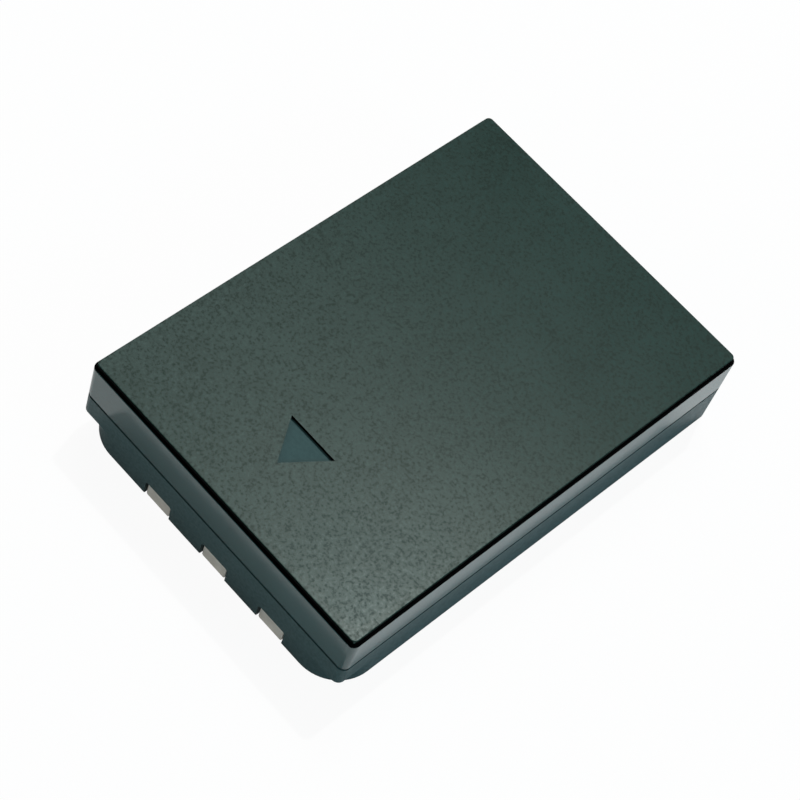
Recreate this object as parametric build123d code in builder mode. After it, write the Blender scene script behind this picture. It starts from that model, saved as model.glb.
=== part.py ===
"""Flat rechargeable camera battery: two moulded shells round a prismatic cell and its protection board.

X runs across the width, Y along the length with the contact end at -Y, Z up through the thickness.
The origin is the middle of the underside. All sizes are in millimetres.
"""

import os

from build123d import *

os.makedirs("parts", exist_ok=True)

# Closed case
case_width = 32.0
case_length = 46.3
case_height = 9.5

# Outer corners and edges: upright walls, with the lower corners of the contact end drawn in
case_corner = 0.7
foot_corner = 4.0
foot_height = 2.65
lower_edge_round = 0.35
shoulder_round = 0.1

# Walls
wall = 0.9
floor_thickness = 0.6
ceiling_thickness = 0.6
rear_inner_corner = 0.8

# Parting seam between the shells
seam_drop = 4.66
seam_gap = 0.28
lip_height = 0.8
lip_thickness = 0.4
lip_clearance = 0.05

# Panel on the upper face, held clear of the shell's shoulder by a plinth
panel_thickness = 0.35
panel_margin = 0.25
panel_edge_round = 0.08
plinth_height = 0.2
plinth_inset = 0.8

# Arrow window in the panel, pointing at the contact end
arrow_width = 5.3
arrow_height = 4.0
arrow_setback = 6.1

# Contact slots, open at the lower edge of the contact end
slot_pitch = 7.1
slot_shift = 1.1
slot_width = 3.2
slot_top = 1.95
slot_corner = 0.3

# Contact plates on the front of the board
contact_names = ("positive_contact", "sense_contact", "negative_contact")
contact_thickness = 0.7
contact_side_gap = 0.2
contact_top_gap = 0.1
contact_bottom = 0.1
contact_corner = 0.2

# Protection board, upright behind the end wall, and the posts that hold it there
board_side_gap = 3.1
board_thickness = 0.8
board_top_gap = 1.5
board_corner = 0.4
board_clearance = 0.05
post_width = 1.0
post_depth = 0.8
post_height = 5.0

# Cell and what lies round it
cell_gap = 0.2
header_space = 1.8
can_bottom_round = 1.2
can_lid_round = 0.25
pad_thickness = 0.15
pad_width = 20.0
pad_length = 30.0
cushion_thickness = 0.5
cushion_width = 18.0
cushion_height = 4.0

# Terminal, seal and plug on the cell's lid
gasket_width = 6.0
gasket_height = 3.0
gasket_thickness = 0.4
rivet_head = 2.6
rivet_head_height = 0.4
rivet_shank = 1.4
shank_clearance = 0.05
plug_diameter = 1.6
plug_height = 0.15
plug_x = -5.4

# Insulating sheet on the cell's lid
sheet_thickness = 0.2
sheet_margin = 0.6
sheet_clearance = 0.2

# Thermal fuse and the strips that join cell, fuse and board
fuse_width = 4.0
fuse_height = 3.0
fuse_thickness = 1.0
fuse_corner = 0.3
fuse_post_gap = 1.8
fuse_tab_reach = 1.2
tab_thickness = 0.15
tab_width = 2.4
tab_bend = 0.25
tab_foot = 1.6
tab_post_gap = 0.3
positive_foot = 2.0

# Parts on the back of the board
part_gap = 0.5
switch_width = 3.0
switch_length = 3.0
switch_height = 0.75
ic_width = 2.6
ic_length = 1.6
ic_height = 0.7
ic_rise = 0.6
chip_width = 1.0
chip_length = 0.5
chip_pitch = 1.3
chip_row = 1.8
chip_x = 2.6
chip_edge = 0.06
resistor_count = 3
resistor_height = 0.35
capacitor_count = 2
capacitor_height = 0.5
sensor_height = 0.5

# Levels and faces that the pieces share
front_y = -case_length / 2
rear_y = case_length / 2
seam_z = case_height - seam_drop
panel_seat_z = case_height - panel_thickness
shoulder_z = panel_seat_z - plinth_height
ceiling_z = shoulder_z - ceiling_thickness
cavity_width = case_width - 2 * wall
board_width = cavity_width - 2 * board_side_gap
board_front_y = front_y + wall
board_back_y = board_front_y + board_thickness
board_height = ceiling_z - board_top_gap - floor_thickness
board_mid_z = floor_thickness + board_height / 2
post_x = (board_width - post_width) / 2
cell_lid_y = board_back_y + header_space
cell_rear_y = rear_y - wall - cushion_thickness
cell_width = cavity_width - 2 * cell_gap
cell_bottom = floor_thickness + pad_thickness
cell_height = ceiling_z - pad_thickness - cell_bottom
cell_mid_y = (cell_lid_y + cell_rear_y) / 2
cell_mid_z = cell_bottom + cell_height / 2
rivet_front_y = cell_lid_y - gasket_thickness - rivet_head_height
sheet_front_y = cell_lid_y - sheet_thickness
contact_width = slot_width - 2 * contact_side_gap
contact_height = slot_top - contact_top_gap - contact_bottom
positive_left = -board_width / 2 + post_width + tab_post_gap
positive_right = positive_left + positive_foot
fuse_right = board_width / 2 - post_width - fuse_post_gap - tab_thickness
fuse_left = fuse_right - fuse_width
switch_x = positive_right + part_gap + switch_width / 2
ic_left = switch_x + switch_width / 2 + part_gap
ic_x = ic_left + ic_width / 2
resistor_x = ic_left + ((resistor_count - 1) * chip_pitch + chip_width) / 2


def facing_front(y, z=0):
    """Upright plane that faces the contact end, with X to the right and Z up."""
    return Plane(origin=(0, y, z), x_dir=(1, 0, 0), z_dir=(0, -1, 0))


def plan(inset, front_corner, rear_corner):
    """Plan of the case drawn in by an inset, with its own corner radius at each end."""
    with BuildSketch() as outline:
        Rectangle(case_width - 2 * inset, case_length - 2 * inset)
        fillet(outline.vertices().group_by(Axis.Y)[0], front_corner)
        fillet(outline.vertices().group_by(Axis.Y)[-1], rear_corner)
    return outline.sketch


def strip(points, bend):
    """Edgewise outline of a bent metal strip whose middle line follows the points."""
    with BuildSketch() as outline:
        with BuildLine():
            FilletPolyline(*points, radius=bend)
        trace(line_width=tab_thickness)
    return outline.sketch


def export(piece, name):
    """Label a finished piece and write it."""
    piece.part.label = name
    export_step(piece.part, f"parts/{name}.step")


# Plans of the case, of its hollow, and of the joint between the shells
foot_plan = plan(0, foot_corner, case_corner)
case_plan = plan(0, case_corner, case_corner)
cavity_plan = plan(wall, foot_corner - wall, rear_inner_corner)
lip_inset = wall - lip_thickness
lip_rear_corner = rear_inner_corner + lip_thickness
lip_plan = plan(lip_inset, foot_corner - lip_inset, lip_rear_corner)
rebate_inset = lip_inset - lip_clearance
rebate_plan = plan(rebate_inset, foot_corner - rebate_inset, lip_rear_corner + lip_clearance)
panel_plan = plan(panel_margin, case_corner - panel_margin, case_corner - panel_margin)
plinth_plan = plan(panel_margin + plinth_inset, case_corner, case_corner)

# Outer form of the closed case up to its shoulder: the square corners stand out over the foot
with BuildPart() as case_form:
    with BuildSketch():
        add(foot_plan)
    extrude(amount=foot_height)
    fillet(case_form.faces().sort_by(Axis.Z)[0].edges(), lower_edge_round)
    with BuildSketch(Plane.XY.offset(foot_height)):
        add(case_plan)
    extrude(amount=shoulder_z - foot_height)
    fillet(case_form.faces().sort_by(Axis.Z)[-1].edges(), shoulder_round)

# Space for the cell and the board
with BuildPart() as cavity:
    with BuildSketch(Plane.XY.offset(floor_thickness)):
        add(cavity_plan)
    extrude(amount=ceiling_z - floor_thickness)

# Upper shell: walls, ceiling, plinth under the panel, and a lip that plugs into the lower shell
with BuildPart() as upper_case:
    add(case_form.part)
    split(bisect_by=Plane.XY.offset(seam_z + seam_gap), keep=Keep.TOP)
    add(cavity.part, mode=Mode.SUBTRACT)
    with BuildSketch(Plane.XY.offset(seam_z - lip_height)):
        add(lip_plan)
        add(cavity_plan, mode=Mode.SUBTRACT)
    extrude(amount=lip_height + 2 * seam_gap)
    with BuildSketch(Plane.XY.offset(shoulder_z)):
        add(plinth_plan)
    extrude(amount=plinth_height)
export(upper_case, "upper_case")

# Lower shell: floor, walls, rebate for the lip, contact slots and board posts
with BuildPart() as lower_case:
    add(case_form.part)
    split(bisect_by=Plane.XY.offset(seam_z), keep=Keep.BOTTOM)
    add(cavity.part, mode=Mode.SUBTRACT)
    with BuildSketch(Plane.XY.offset(seam_z - lip_height)):
        add(rebate_plan)
    extrude(amount=lip_height, mode=Mode.SUBTRACT)
    with BuildSketch(Plane.XY.offset(floor_thickness / 2)):
        with Locations((0, board_back_y + board_clearance)):
            with GridLocations(2 * post_x, 0, 2, 1):
                Rectangle(post_width, post_depth, align=(Align.CENTER, Align.MIN))
    extrude(amount=post_height)
    with BuildSketch(facing_front(front_y, slot_top)):
        with Locations((slot_shift, 0)):
            with GridLocations(slot_pitch, 0, len(contact_names), 1):
                RectangleRounded(
                    slot_width,
                    slot_top + slot_corner,
                    slot_corner,
                    align=(Align.CENTER, Align.MAX),
                )
    extrude(amount=-wall, mode=Mode.SUBTRACT)
export(lower_case, "lower_case")

# Panel on the plinth, with the arrow cut through to the shell below
with BuildPart() as top_panel:
    with BuildSketch(Plane.XY.offset(panel_seat_z)):
        add(panel_plan)
        with BuildLine():
            tip_y = front_y + arrow_setback
            base_y = tip_y + arrow_height
            Polyline((0, tip_y), (arrow_width / 2, base_y), (-arrow_width / 2, base_y), close=True)
        make_face(mode=Mode.SUBTRACT)
    extrude(amount=panel_thickness)
    fillet(top_panel.faces().sort_by(Axis.Z)[-1].outer_wire().edges(), panel_edge_round)
export(top_panel, "top_panel")

# Sealed prismatic cell: a drawn can with its lid towards the contact end
with BuildPart() as cell:
    with BuildSketch(facing_front(cell_lid_y, cell_mid_z)):
        SlotOverall(cell_width, cell_height)
    extrude(amount=cell_lid_y - cell_rear_y)
    fillet(cell.faces().sort_by(Axis.Y)[-1].edges(), can_bottom_round)
    fillet(cell.faces().sort_by(Axis.Y)[0].edges(), can_lid_round)
export(cell, "cell")

with BuildPart() as terminal_gasket:
    with BuildSketch(facing_front(cell_lid_y, cell_mid_z)):
        SlotOverall(gasket_width, gasket_height)
        Circle(rivet_shank / 2 + shank_clearance, mode=Mode.SUBTRACT)
    extrude(amount=gasket_thickness)
export(terminal_gasket, "terminal_gasket")

with BuildPart() as terminal_rivet:
    with BuildSketch(facing_front(cell_lid_y, cell_mid_z)):
        Circle(rivet_shank / 2)
    extrude(amount=gasket_thickness)
    with BuildSketch(facing_front(cell_lid_y - gasket_thickness, cell_mid_z)):
        Circle(rivet_head / 2)
    extrude(amount=rivet_head_height)
export(terminal_rivet, "terminal_rivet")

with BuildPart() as fill_plug:
    with BuildSketch(facing_front(cell_lid_y, cell_mid_z)):
        with Locations((plug_x, 0)):
            Circle(plug_diameter / 2)
    extrude(amount=plug_height)
export(fill_plug, "fill_plug")

# Insulating sheet, open round the seal, the plug and the foot of the positive strip
with BuildPart() as header_insulator:
    with BuildSketch(facing_front(cell_lid_y, cell_mid_z)):
        SlotOverall(cell_width - 2 * sheet_margin, cell_height - 2 * sheet_margin)
        SlotOverall(
            gasket_width + 2 * sheet_clearance,
            gasket_height + 2 * sheet_clearance,
            mode=Mode.SUBTRACT,
        )
        with Locations((plug_x, 0)):
            Circle(plug_diameter / 2 + sheet_clearance, mode=Mode.SUBTRACT)
        with Locations((positive_left - sheet_clearance, 0)):
            Rectangle(
                positive_foot + tab_thickness + 2 * sheet_clearance,
                tab_width + 2 * sheet_clearance,
                align=(Align.MIN, Align.CENTER),
                mode=Mode.SUBTRACT,
            )
    extrude(amount=sheet_thickness)
export(header_insulator, "header_insulator")

# Thermal fuse on the sheet, and the metal strips
with BuildPart() as thermal_fuse:
    with BuildSketch(facing_front(sheet_front_y, cell_mid_z)):
        with Locations((fuse_left, 0)):
            RectangleRounded(fuse_width, fuse_height, fuse_corner, align=(Align.MIN, Align.CENTER))
    extrude(amount=fuse_thickness)
export(thermal_fuse, "thermal_fuse")

tab_plane = Plane.XY.offset(cell_mid_z - tab_width / 2)
board_line_y = board_back_y + tab_thickness / 2
rivet_line_y = rivet_front_y - tab_thickness / 2
lid_line_y = cell_lid_y - tab_thickness / 2

with BuildPart() as negative_tab:
    with BuildSketch(facing_front(rivet_front_y, cell_mid_z)):
        with Locations((-rivet_head / 2, 0)):
            Rectangle(fuse_left + rivet_head / 2, tab_width, align=(Align.MIN, Align.CENTER))
    extrude(amount=tab_thickness)
export(negative_tab, "negative_tab")

fuse_leg_x = fuse_right + fuse_tab_reach
fuse_strip = strip(
    [
        (fuse_right, rivet_line_y),
        (fuse_leg_x, rivet_line_y),
        (fuse_leg_x, board_line_y),
        (fuse_leg_x - tab_foot, board_line_y),
    ],
    tab_bend,
)
with BuildPart() as fuse_tab:
    with BuildSketch(tab_plane):
        add(fuse_strip)
    extrude(amount=tab_width)
export(fuse_tab, "fuse_tab")

positive_strip = strip(
    [
        (positive_left, lid_line_y),
        (positive_right, lid_line_y),
        (positive_right, board_line_y),
        (positive_right - tab_foot, board_line_y),
    ],
    tab_bend,
)
with BuildPart() as positive_tab:
    with BuildSketch(tab_plane):
        add(positive_strip)
    extrude(amount=tab_width)
export(positive_tab, "positive_tab")

# Board, its contact plates on the front and its parts on the back
with BuildPart() as circuit_board:
    with BuildSketch(facing_front(board_back_y, board_mid_z)):
        RectangleRounded(board_width, board_height, board_corner)
    extrude(amount=board_thickness)
export(circuit_board, "circuit_board")

for index, contact_name in enumerate(contact_names):
    contact_x = slot_shift + (index - (len(contact_names) - 1) / 2) * slot_pitch
    with BuildPart() as contact:
        with BuildSketch(facing_front(board_front_y, contact_bottom)):
            with Locations((contact_x, 0)):
                RectangleRounded(
                    contact_width,
                    contact_height,
                    contact_corner,
                    align=(Align.CENTER, Align.MIN),
                )
        extrude(amount=contact_thickness)
    export(contact, contact_name)

board_back = facing_front(board_back_y, board_mid_z)

with BuildPart() as power_switch:
    with BuildSketch(board_back):
        with Locations((switch_x, 0)):
            Rectangle(switch_width, switch_length)
    extrude(amount=-switch_height)
    chamfer(power_switch.faces().sort_by(Axis.Y)[-1].edges(), chip_edge)
export(power_switch, "power_switch")

with BuildPart() as protection_ic:
    with BuildSketch(board_back):
        with Locations((ic_x, ic_rise)):
            Rectangle(ic_width, ic_length)
    extrude(amount=-ic_height)
    chamfer(protection_ic.faces().sort_by(Axis.Y)[-1].edges(), chip_edge)
export(protection_ic, "protection_ic")

with BuildPart() as resistors:
    with BuildSketch(board_back):
        with Locations((resistor_x, -chip_row)):
            with GridLocations(chip_pitch, 0, resistor_count, 1):
                Rectangle(chip_width, chip_length)
    extrude(amount=-resistor_height)
export(resistors, "resistors")

with BuildPart() as capacitors:
    with BuildSketch(board_back):
        with Locations((chip_x, -chip_row)):
            with GridLocations(chip_pitch, 0, capacitor_count, 1):
                Rectangle(chip_width, chip_length)
    extrude(amount=-capacitor_height)
export(capacitors, "capacitors")

with BuildPart() as temperature_sensor:
    with BuildSketch(board_back):
        with Locations((chip_x, chip_row)):
            Rectangle(chip_width, chip_length)
    extrude(amount=-sensor_height)
export(temperature_sensor, "temperature_sensor")

# Adhesive pads below and above the cell, and the foam strip behind it
pad_places = {"lower_pad": floor_thickness, "upper_pad": ceiling_z - pad_thickness}
for pad_name, pad_z in pad_places.items():
    with BuildPart() as pad:
        with BuildSketch(Plane.XY.offset(pad_z)):
            with Locations((0, cell_mid_y)):
                Rectangle(pad_width, pad_length)
        extrude(amount=pad_thickness)
    export(pad, pad_name)

with BuildPart() as rear_cushion:
    with BuildSketch(facing_front(cell_rear_y, cell_mid_z)):
        Rectangle(cushion_width, cushion_height)
    extrude(amount=-cushion_thickness)
export(rear_cushion, "rear_cushion")
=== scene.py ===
"""Looks of the camera battery.

Each solid gets its finish. The scene adds a pale floor, soft lamps and the camera of the photograph.
"""

import math

import bpy
from mathutils import Matrix, Vector


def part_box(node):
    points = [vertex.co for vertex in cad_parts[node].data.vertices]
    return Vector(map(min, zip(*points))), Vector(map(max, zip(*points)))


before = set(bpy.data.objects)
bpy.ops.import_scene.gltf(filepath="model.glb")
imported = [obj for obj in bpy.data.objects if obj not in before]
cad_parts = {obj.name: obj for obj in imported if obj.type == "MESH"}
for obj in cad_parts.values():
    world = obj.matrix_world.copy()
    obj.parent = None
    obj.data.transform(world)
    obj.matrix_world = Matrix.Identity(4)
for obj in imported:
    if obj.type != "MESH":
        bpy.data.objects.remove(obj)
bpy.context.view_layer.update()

MM = 0.001

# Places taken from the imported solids
panel_low, panel_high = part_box("top_panel")
upper_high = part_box("upper_case")[1]
top_z = panel_high.z

# The camera of the photograph
CAMERA_AIM = Vector((1.543 * MM, -4.653 * MM, top_z))
CAMERA_AZIMUTH = math.radians(28.154)
CAMERA_ELEVATION = math.radians(55.447)
CAMERA_ROLL = math.radians(22.319)
CAMERA_DISTANCE = 201.56 * MM
CAMERA_LENS = 109.84
SENSOR_WIDTH = 36.0
CLIP_START = 0.01
CLIP_END = 10.0

# The gap under the panel's edge, over the upper shell's shoulder and round its plinth, whose sizes also place
# the painted shade
EDGE_ROUND = 0.08 * MM
SHOULDER_ROUND = 0.10 * MM
PLINTH_INSET = 0.80 * MM
PLINTH_HEIGHT = 0.20 * MM

# The shoulder's rim left outside the gap's painted near-black shade, on the long sides and on the ends
SIDE_RIM = 0.02 * SHOULDER_ROUND
END_RIM = 0.5 * SHOULDER_ROUND

# The arrow window: its middle behind the panel's front edge, and half of a square round it
WINDOW_SETBACK = 8.1 * MM
WINDOW_HALF = 3.6 * MM
LEVEL_SLACK = 0.02 * MM

# Mouldings: a fine grain mixed with a slow drift, and the range of that mix between the two tones
DRIFT_SIZE = 6.0 * MM
GRAIN_SHARE = 0.85
DRIFT_SHARE = 0.15
TONE_RANGE = (0.36, 0.64)

# Plated metal: rubbed lines drawn out along Z, and a slow stain
LINE_WIDTH = 0.06 * MM
LINE_SCALE = (1.0, 1.0, 0.06)
LINE_DEPTH = 0.002 * MM
LINE_STRENGTH = 0.5
STAIN_SIZE = 0.9 * MM

# Plain colours, and tints of the gloss
WHITE = (1.0, 1.0, 1.0)
BLACK = (0.0, 0.0, 0.0)
PANEL_TINT = (0.89, 1.0, 0.94)
ARROW_TINT = (0.2, 0.2, 0.2)

# Finishes of zones: two tones, the roughness and the tint of the gloss
# Painted shade: near-black matt tones put in the gap under the panel's edge, on the shoulder and on the arrow
# window's walls, deepening the gap's own shade
PAINTED_GAP_SHADE = (((0.0010, 0.0012, 0.0012), (0.0020, 0.0022, 0.0022)), 0.9, BLACK)
ARROW_FINISH = (((0.027, 0.066, 0.067), (0.033, 0.077, 0.078)), 0.6, ARROW_TINT)

# The floor: nearly white to the camera, a little of that in reflections, and the object's shadow kept
FLOOR_SIZE = 4.0
FLOOR_DROP = 0.01 * MM
FLOOR_TONE = (0.94, 0.94, 0.94)
FLOOR_WHITE = 0.94
FLOOR_MIRRORED = 0.05

# The world and the lamps
WORLD_LEVEL = 0.20
LAMP_DISTANCE = 1.0
SIDE_BLUE = (0.20, 0.82, 1.0)


def from_angles(azimuth, elevation):
    """Unit vector towards a place seen at that azimuth (from -Y towards +X) and elevation."""
    flat = math.cos(elevation)
    return Vector((math.sin(azimuth) * flat, -math.cos(azimuth) * flat, math.sin(elevation)))


class Nodes:
    """A material's node tree, with short calls to add nodes and link them."""

    def __init__(self, name):
        self.material = bpy.data.materials.new(name)
        self.material.use_nodes = True
        self.tree = self.material.node_tree
        self.tree.nodes.clear()
        self.output = self.add("ShaderNodeOutputMaterial")

    def add(self, kind, **settings):
        """New node with its settings."""
        node = self.tree.nodes.new(kind)
        for key, value in settings.items():
            setattr(node, key, value)
        return node

    def link(self, source, target):
        """Link from an output to an input."""
        self.tree.links.new(source, target)

    def math(self, operation, first, second=None, third=None):
        """Math node on sockets or numbers, and its result."""
        node = self.add("ShaderNodeMath", operation=operation)
        for socket, value in zip(node.inputs, (first, second, third)):
            if value is None:
                continue
            if isinstance(value, (int, float)):
                socket.default_value = value
            else:
                self.link(value, socket)
        return node.outputs[0]

    def position(self):
        """The point being shaded, in the object's own metres."""
        return self.add("ShaderNodeTexCoord").outputs["Object"]

    def split(self, vector):
        """X, Y and Z of a vector."""
        node = self.add("ShaderNodeSeparateXYZ")
        self.link(vector, node.inputs[0])
        return node.outputs[0], node.outputs[1], node.outputs[2]

    def noise(self, size, detail=3.0, roughness=0.5):
        """Noise whose features are about the given size in metres."""
        node = self.add("ShaderNodeTexNoise")
        self.link(self.position(), node.inputs["Vector"])
        node.inputs["Scale"].default_value = 1.0 / size
        node.inputs["Detail"].default_value = detail
        node.inputs["Roughness"].default_value = roughness
        return node.outputs["Fac"]

    def spread(self, value, low, high, from_low=0.3, from_high=0.7):
        """Value mapped from its usual range to another."""
        node = self.add("ShaderNodeMapRange")
        self.link(value, node.inputs["Value"])
        node.inputs["From Min"].default_value = from_low
        node.inputs["From Max"].default_value = from_high
        node.inputs["To Min"].default_value = low
        node.inputs["To Max"].default_value = high
        return node.outputs["Result"]

    def blend(self, factor, first, second):
        """Colour between two colours or sockets."""
        node = self.add("ShaderNodeMix", data_type="RGBA")
        self.link(factor, node.inputs["Factor"])
        colours = [s for s in node.inputs if s.type == "RGBA"]
        for socket, value in zip(colours, (first, second)):
            if isinstance(value, tuple):
                socket.default_value = (*value, 1.0)
            else:
                self.link(value, socket)
        return [s for s in node.outputs if s.type == "RGBA"][0]

    def between(self, factor, first, second):
        """Number between two numbers or sockets."""
        node = self.add("ShaderNodeMix", data_type="FLOAT")
        self.link(factor, node.inputs[0])
        for socket, value in zip(node.inputs[2:4], (first, second)):
            if isinstance(value, float):
                socket.default_value = value
            else:
                self.link(value, socket)
        return node.outputs[0]

    def bump(self, height, distance, strength=1.0):
        """Normal of a relief that is the given distance high, in metres."""
        node = self.add("ShaderNodeBump")
        node.inputs["Strength"].default_value = strength
        node.inputs["Distance"].default_value = distance
        self.link(height, node.inputs["Height"])
        return node.outputs["Normal"]

    def principled(self, colour, roughness, normal, metallic=0.0, specular=0.5, tint=WHITE):
        """The surface's shader, and the finished material."""
        shader = self.add("ShaderNodeBsdfPrincipled")
        shader.inputs["Metallic"].default_value = metallic
        shader.inputs["Specular IOR Level"].default_value = specular
        self.link(colour, shader.inputs["Base Color"])
        self.link(roughness, shader.inputs["Roughness"])
        self.link(normal, shader.inputs["Normal"])
        if isinstance(tint, tuple):
            shader.inputs["Specular Tint"].default_value = (*tint, 1.0)
        else:
            self.link(tint, shader.inputs["Specular Tint"])
        self.link(shader.outputs[0], self.output.inputs["Surface"])
        return self.material


def gap_shade_zone(inner_x, inner_y, outer_x, outer_y, floor, ceiling):
    """Mask of the gap under the panel's edge, where near-black shade is painted: between two rectangles in
    plan and between two levels.
    """

    def mask(nodes):
        x, y, z = nodes.split(nodes.position())
        x = nodes.math("ABSOLUTE", x)
        y = nodes.math("ABSOLUTE", y)
        beyond = nodes.math(
            "MAXIMUM",
            nodes.math("GREATER_THAN", x, inner_x),
            nodes.math("GREATER_THAN", y, inner_y),
        )
        within = nodes.math(
            "MULTIPLY",
            nodes.math("LESS_THAN", x, outer_x),
            nodes.math("LESS_THAN", y, outer_y),
        )
        level = nodes.math(
            "MULTIPLY",
            nodes.math("GREATER_THAN", z, floor),
            nodes.math("LESS_THAN", z, ceiling),
        )
        return nodes.math("MULTIPLY", nodes.math("MULTIPLY", beyond, within), level)

    return mask


def box_zone(middle_x, middle_y, half_x, half_y, ceiling):
    """Mask of what lies inside a rectangle in plan and below a level."""

    def mask(nodes):
        x, y, z = nodes.split(nodes.position())
        across = nodes.math("COMPARE", x, middle_x, half_x)
        along = nodes.math("COMPARE", y, middle_y, half_y)
        under = nodes.math("LESS_THAN", z, ceiling)
        return nodes.math("MULTIPLY", nodes.math("MULTIPLY", across, along), under)

    return mask


def level_zone(floor):
    """Mask of what lies above a level."""

    def mask(nodes):
        height = nodes.split(nodes.position())[2]
        return nodes.math("GREATER_THAN", height, floor)

    return mask


def moulded_plastic(name, tones, grain, grain_height, roughness, specular, tint=WHITE, zones=()):
    """Moulded plastic: two close tones in a fine grain with a slow drift, and zones with their own finish,
    such as painted shade.
    """
    nodes = Nodes(name)
    fine = nodes.noise(grain, detail=2.0, roughness=0.6)
    drift = nodes.noise(DRIFT_SIZE, detail=2.0)
    tone = nodes.math(
        "ADD",
        nodes.math("MULTIPLY", fine, GRAIN_SHARE),
        nodes.math("MULTIPLY", drift, DRIFT_SHARE),
    )
    tone = nodes.spread(tone, 0.0, 1.0, *TONE_RANGE)
    colour = nodes.blend(tone, *tones)
    smoothest, roughest = roughness
    rough = nodes.spread(fine, roughest, smoothest)
    for mask, finish in zones:
        zone_tones, zone_roughness, zone_tint = finish
        inside = mask(nodes)
        colour = nodes.blend(inside, colour, nodes.blend(tone, *zone_tones))
        rough = nodes.between(inside, rough, zone_roughness)
        tint = nodes.blend(inside, tint, zone_tint)
    normal = nodes.bump(fine, grain_height)
    return nodes.principled(colour, rough, normal, specular=specular, tint=tint)


def plated_metal(name, tones, roughness):
    """Plated metal with fine rubbed lines along Z and a slow stain."""
    nodes = Nodes(name)
    stretch = nodes.add("ShaderNodeMapping")
    stretch.inputs["Scale"].default_value = LINE_SCALE
    nodes.link(nodes.position(), stretch.inputs["Vector"])
    lines = nodes.add("ShaderNodeTexNoise")
    lines.inputs["Scale"].default_value = 1.0 / LINE_WIDTH
    lines.inputs["Detail"].default_value = 2.0
    nodes.link(stretch.outputs[0], lines.inputs["Vector"])
    stain = nodes.noise(STAIN_SIZE)
    colour = nodes.blend(nodes.spread(stain, 0.0, 1.0), *tones)
    rough = nodes.spread(lines.outputs["Fac"], *roughness)
    normal = nodes.bump(lines.outputs["Fac"], LINE_DEPTH, LINE_STRENGTH)
    return nodes.principled(colour, rough, normal, metallic=1.0)


def dress(material, *names):
    """Give CAD nodes a material."""
    for name in names:
        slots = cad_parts[name].data.materials
        slots.clear()
        slots.append(material)


# Zones of the panel and of the upper shell: near-black shade painted into the gap and on the arrow window's
# walls, and the arrow's floor
shoulder_z = upper_high.z - PLINTH_HEIGHT
# Painted shade on the panel's edge walls and round them, down into the gap
panel_gap_painted_shade = gap_shade_zone(
    inner_x=panel_high.x - EDGE_ROUND,
    inner_y=panel_high.y - EDGE_ROUND,
    outer_x=upper_high.x,
    outer_y=upper_high.y,
    floor=panel_low.z - EDGE_ROUND,
    ceiling=top_z - 0.5 * EDGE_ROUND,
)
# Painted shade on the upper shell's shoulder and plinth inside the gap
shoulder_gap_painted_shade = gap_shade_zone(
    inner_x=panel_high.x - PLINTH_INSET - EDGE_ROUND,
    inner_y=panel_high.y - PLINTH_INSET - EDGE_ROUND,
    outer_x=upper_high.x - SIDE_RIM,
    outer_y=upper_high.y - END_RIM,
    floor=shoulder_z - EDGE_ROUND,
    ceiling=top_z,
)
# Painted shade on the walls of the arrow window
window_wall_painted_shade = box_zone(
    middle_x=0.0,
    middle_y=panel_low.y + WINDOW_SETBACK,
    half_x=WINDOW_HALF,
    half_y=WINDOW_HALF,
    ceiling=top_z - LEVEL_SLACK,
)
arrow_floor = level_zone(upper_high.z - LEVEL_SLACK)

# Finishes of the outside
panel_finish = moulded_plastic(
    "panel_finish",
    tones=((0.004, 0.019, 0.014), (0.024, 0.053, 0.046)),
    grain=0.26 * MM,
    grain_height=0.001 * MM,
    roughness=(0.22, 0.36),
    specular=0.098,
    tint=PANEL_TINT,
    zones=[(panel_gap_painted_shade, PAINTED_GAP_SHADE), (window_wall_painted_shade, PAINTED_GAP_SHADE)],
)
upper_finish = moulded_plastic(
    "upper_finish",
    tones=((0.002, 0.032, 0.031), (0.011, 0.050, 0.049)),
    grain=0.30 * MM,
    grain_height=0.0005 * MM,
    roughness=(0.12, 0.16),
    specular=0.65,
    zones=[(arrow_floor, ARROW_FINISH), (shoulder_gap_painted_shade, PAINTED_GAP_SHADE)],
)
lower_finish = moulded_plastic(
    "lower_finish",
    tones=((0.034, 0.066, 0.068), (0.050, 0.088, 0.091)),
    grain=0.30 * MM,
    grain_height=0.001 * MM,
    roughness=(0.30, 0.36),
    specular=0.06,
)
contact_finish = plated_metal("contact_finish", ((0.80, 0.79, 0.72), (0.93, 0.92, 0.85)), (0.30, 0.45))

# Finishes of the pieces inside
cell_finish = plated_metal("cell_finish", ((0.60, 0.61, 0.62), (0.72, 0.73, 0.74)), (0.30, 0.45))
strip_finish = plated_metal("strip_finish", ((0.55, 0.54, 0.50), (0.66, 0.65, 0.60)), (0.25, 0.40))
sheet_finish = moulded_plastic(
    "sheet_finish",
    tones=((0.55, 0.52, 0.38), (0.62, 0.60, 0.46)),
    grain=0.4 * MM,
    grain_height=0.004 * MM,
    roughness=(0.6, 0.8),
    specular=0.3,
)
board_finish = moulded_plastic(
    "board_finish",
    tones=((0.010, 0.060, 0.022), (0.016, 0.085, 0.032)),
    grain=0.25 * MM,
    grain_height=0.004 * MM,
    roughness=(0.30, 0.42),
    specular=0.5,
)
chip_finish = moulded_plastic(
    "chip_finish",
    tones=((0.012, 0.012, 0.013), (0.020, 0.020, 0.021)),
    grain=0.15 * MM,
    grain_height=0.004 * MM,
    roughness=(0.5, 0.7),
    specular=0.4,
)
ceramic_finish = moulded_plastic(
    "ceramic_finish",
    tones=((0.24, 0.19, 0.14), (0.32, 0.26, 0.20)),
    grain=0.12 * MM,
    grain_height=0.003 * MM,
    roughness=(0.35, 0.5),
    specular=0.5,
)
foam_finish = moulded_plastic(
    "foam_finish",
    tones=((0.010, 0.010, 0.010), (0.030, 0.030, 0.030)),
    grain=0.25 * MM,
    grain_height=0.05 * MM,
    roughness=(0.8, 0.95),
    specular=0.2,
)

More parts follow.
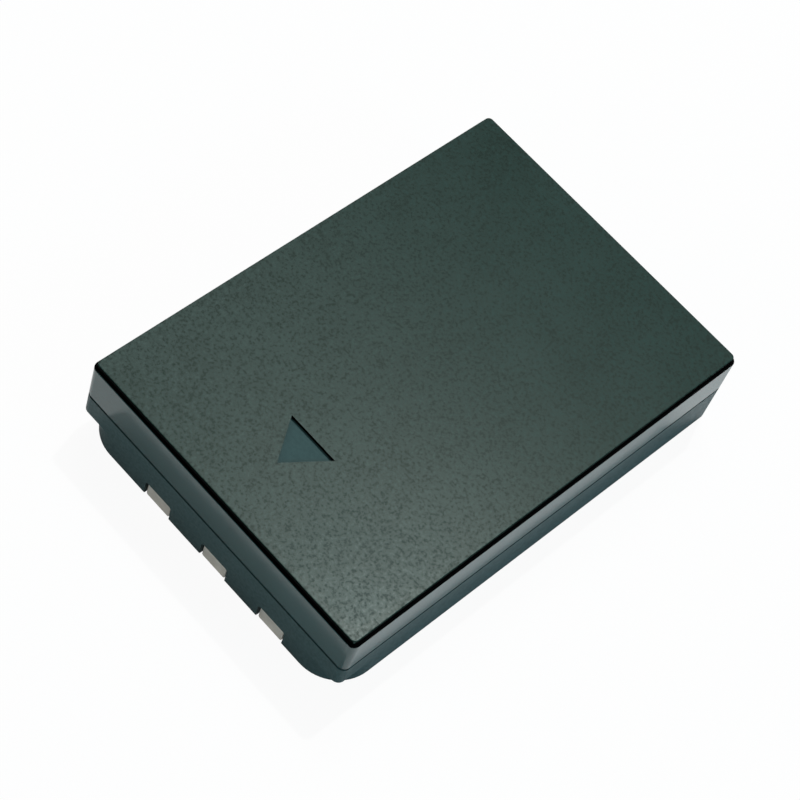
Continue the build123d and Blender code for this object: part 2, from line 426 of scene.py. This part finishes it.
dress(panel_finish, "top_panel")
dress(upper_finish, "upper_case")
dress(lower_finish, "lower_case")
dress(contact_finish, "positive_contact", "sense_contact", "negative_contact")
dress(cell_finish, "cell", "fill_plug")
dress(strip_finish, "terminal_rivet", "positive_tab", "negative_tab", "fuse_tab")
dress(sheet_finish, "header_insulator", "lower_pad", "upper_pad")
dress(board_finish, "circuit_board")
dress(chip_finish, "terminal_gasket", "thermal_fuse", "protection_ic", "power_switch")
dress(ceramic_finish, "resistors", "capacitors", "temperature_sensor")
dress(foam_finish, "rear_cushion")


def floor_material():
    """Pale floor that takes the shadow, with a share of plain white for the camera and for reflections."""
    nodes = Nodes("floor_finish")
    pale = nodes.add("ShaderNodeBsdfDiffuse")
    pale.inputs["Color"].default_value = (*FLOOR_TONE, 1.0)
    white = nodes.add("ShaderNodeEmission")
    path = nodes.add("ShaderNodeLightPath")
    mirrored = nodes.math("MAXIMUM", path.outputs["Is Glossy Ray"], path.outputs["Is Transmission Ray"])
    lift = nodes.math(
        "MAXIMUM",
        nodes.math("MULTIPLY", path.outputs["Is Camera Ray"], FLOOR_WHITE),
        nodes.math("MULTIPLY", mirrored, FLOOR_MIRRORED),
    )
    mix = nodes.add("ShaderNodeMixShader")
    nodes.link(lift, mix.inputs["Fac"])
    nodes.link(pale.outputs[0], mix.inputs[1])
    nodes.link(white.outputs[0], mix.inputs[2])
    nodes.link(mix.outputs[0], nodes.output.inputs["Surface"])
    return nodes.material


def pale_floor():
    """Square floor just under the object."""
    half = FLOOR_SIZE / 2
    mesh = bpy.data.meshes.new("floor")
    corners = [(-half, -half, 0), (half, -half, 0), (half, half, 0), (-half, half, 0)]
    mesh.from_pydata(corners, [], [(0, 1, 2, 3)])
    mesh.materials.append(floor_material())
    floor = bpy.data.objects.new("floor", mesh)
    floor.location.z = -FLOOR_DROP
    bpy.context.scene.collection.objects.link(floor)


def softbox(name, azimuth, elevation, size, level, colour=WHITE):
    """Round soft light that faces the object, with its level on a white face turned to it."""
    light = bpy.data.lights.new(name, "AREA")
    light.shape = "DISK"
    light.size = size
    light.energy = level * (math.pi * LAMP_DISTANCE) ** 2
    light.color = colour
    lamp = bpy.data.objects.new(name, light)
    direction = from_angles(math.radians(azimuth), math.radians(elevation))
    lamp.location = CAMERA_AIM + direction * LAMP_DISTANCE
    lamp.rotation_euler = direction.to_track_quat("Z", "Y").to_euler()
    bpy.context.scene.collection.objects.link(lamp)


def soft_world(strength):
    """Even white light from all round."""
    world = bpy.data.worlds.new("soft_world")
    world.use_nodes = True
    background = world.node_tree.nodes["Background"]
    background.inputs["Color"].default_value = (*WHITE, 1.0)
    background.inputs["Strength"].default_value = strength
    bpy.context.scene.world = world


def photo_camera():
    """Camera at the photograph's place, turned about its own axis as the photograph is."""
    data = bpy.data.cameras.new("photo_camera")
    data.lens = CAMERA_LENS
    data.sensor_width = SENSOR_WIDTH
    data.clip_start = CLIP_START
    data.clip_end = CLIP_END
    camera = bpy.data.objects.new("photo_camera", data)
    direction = from_angles(CAMERA_AZIMUTH, CAMERA_ELEVATION)
    turn = direction.to_track_quat("Z", "Y").to_matrix().to_4x4() @ Matrix.Rotation(CAMERA_ROLL, 4, "Z")
    camera.matrix_world = Matrix.Translation(CAMERA_AIM + direction * CAMERA_DISTANCE) @ turn
    bpy.context.scene.collection.objects.link(camera)
    bpy.context.scene.camera = camera


pale_floor()
soft_world(WORLD_LEVEL)
softbox("key_box", azimuth=199.0, elevation=65.0, size=0.02, level=0.52)
softbox("left_box", azimuth=222.0, elevation=59.0, size=0.30, level=0.16)
softbox("right_box", azimuth=100.0, elevation=30.0, size=0.30, level=0.18, colour=SIDE_BLUE)
softbox("front_box", azimuth=0.0, elevation=25.0, size=0.30, level=0.11)
photo_camera()
bpy.context.scene.view_settings.view_transform = "Standard"
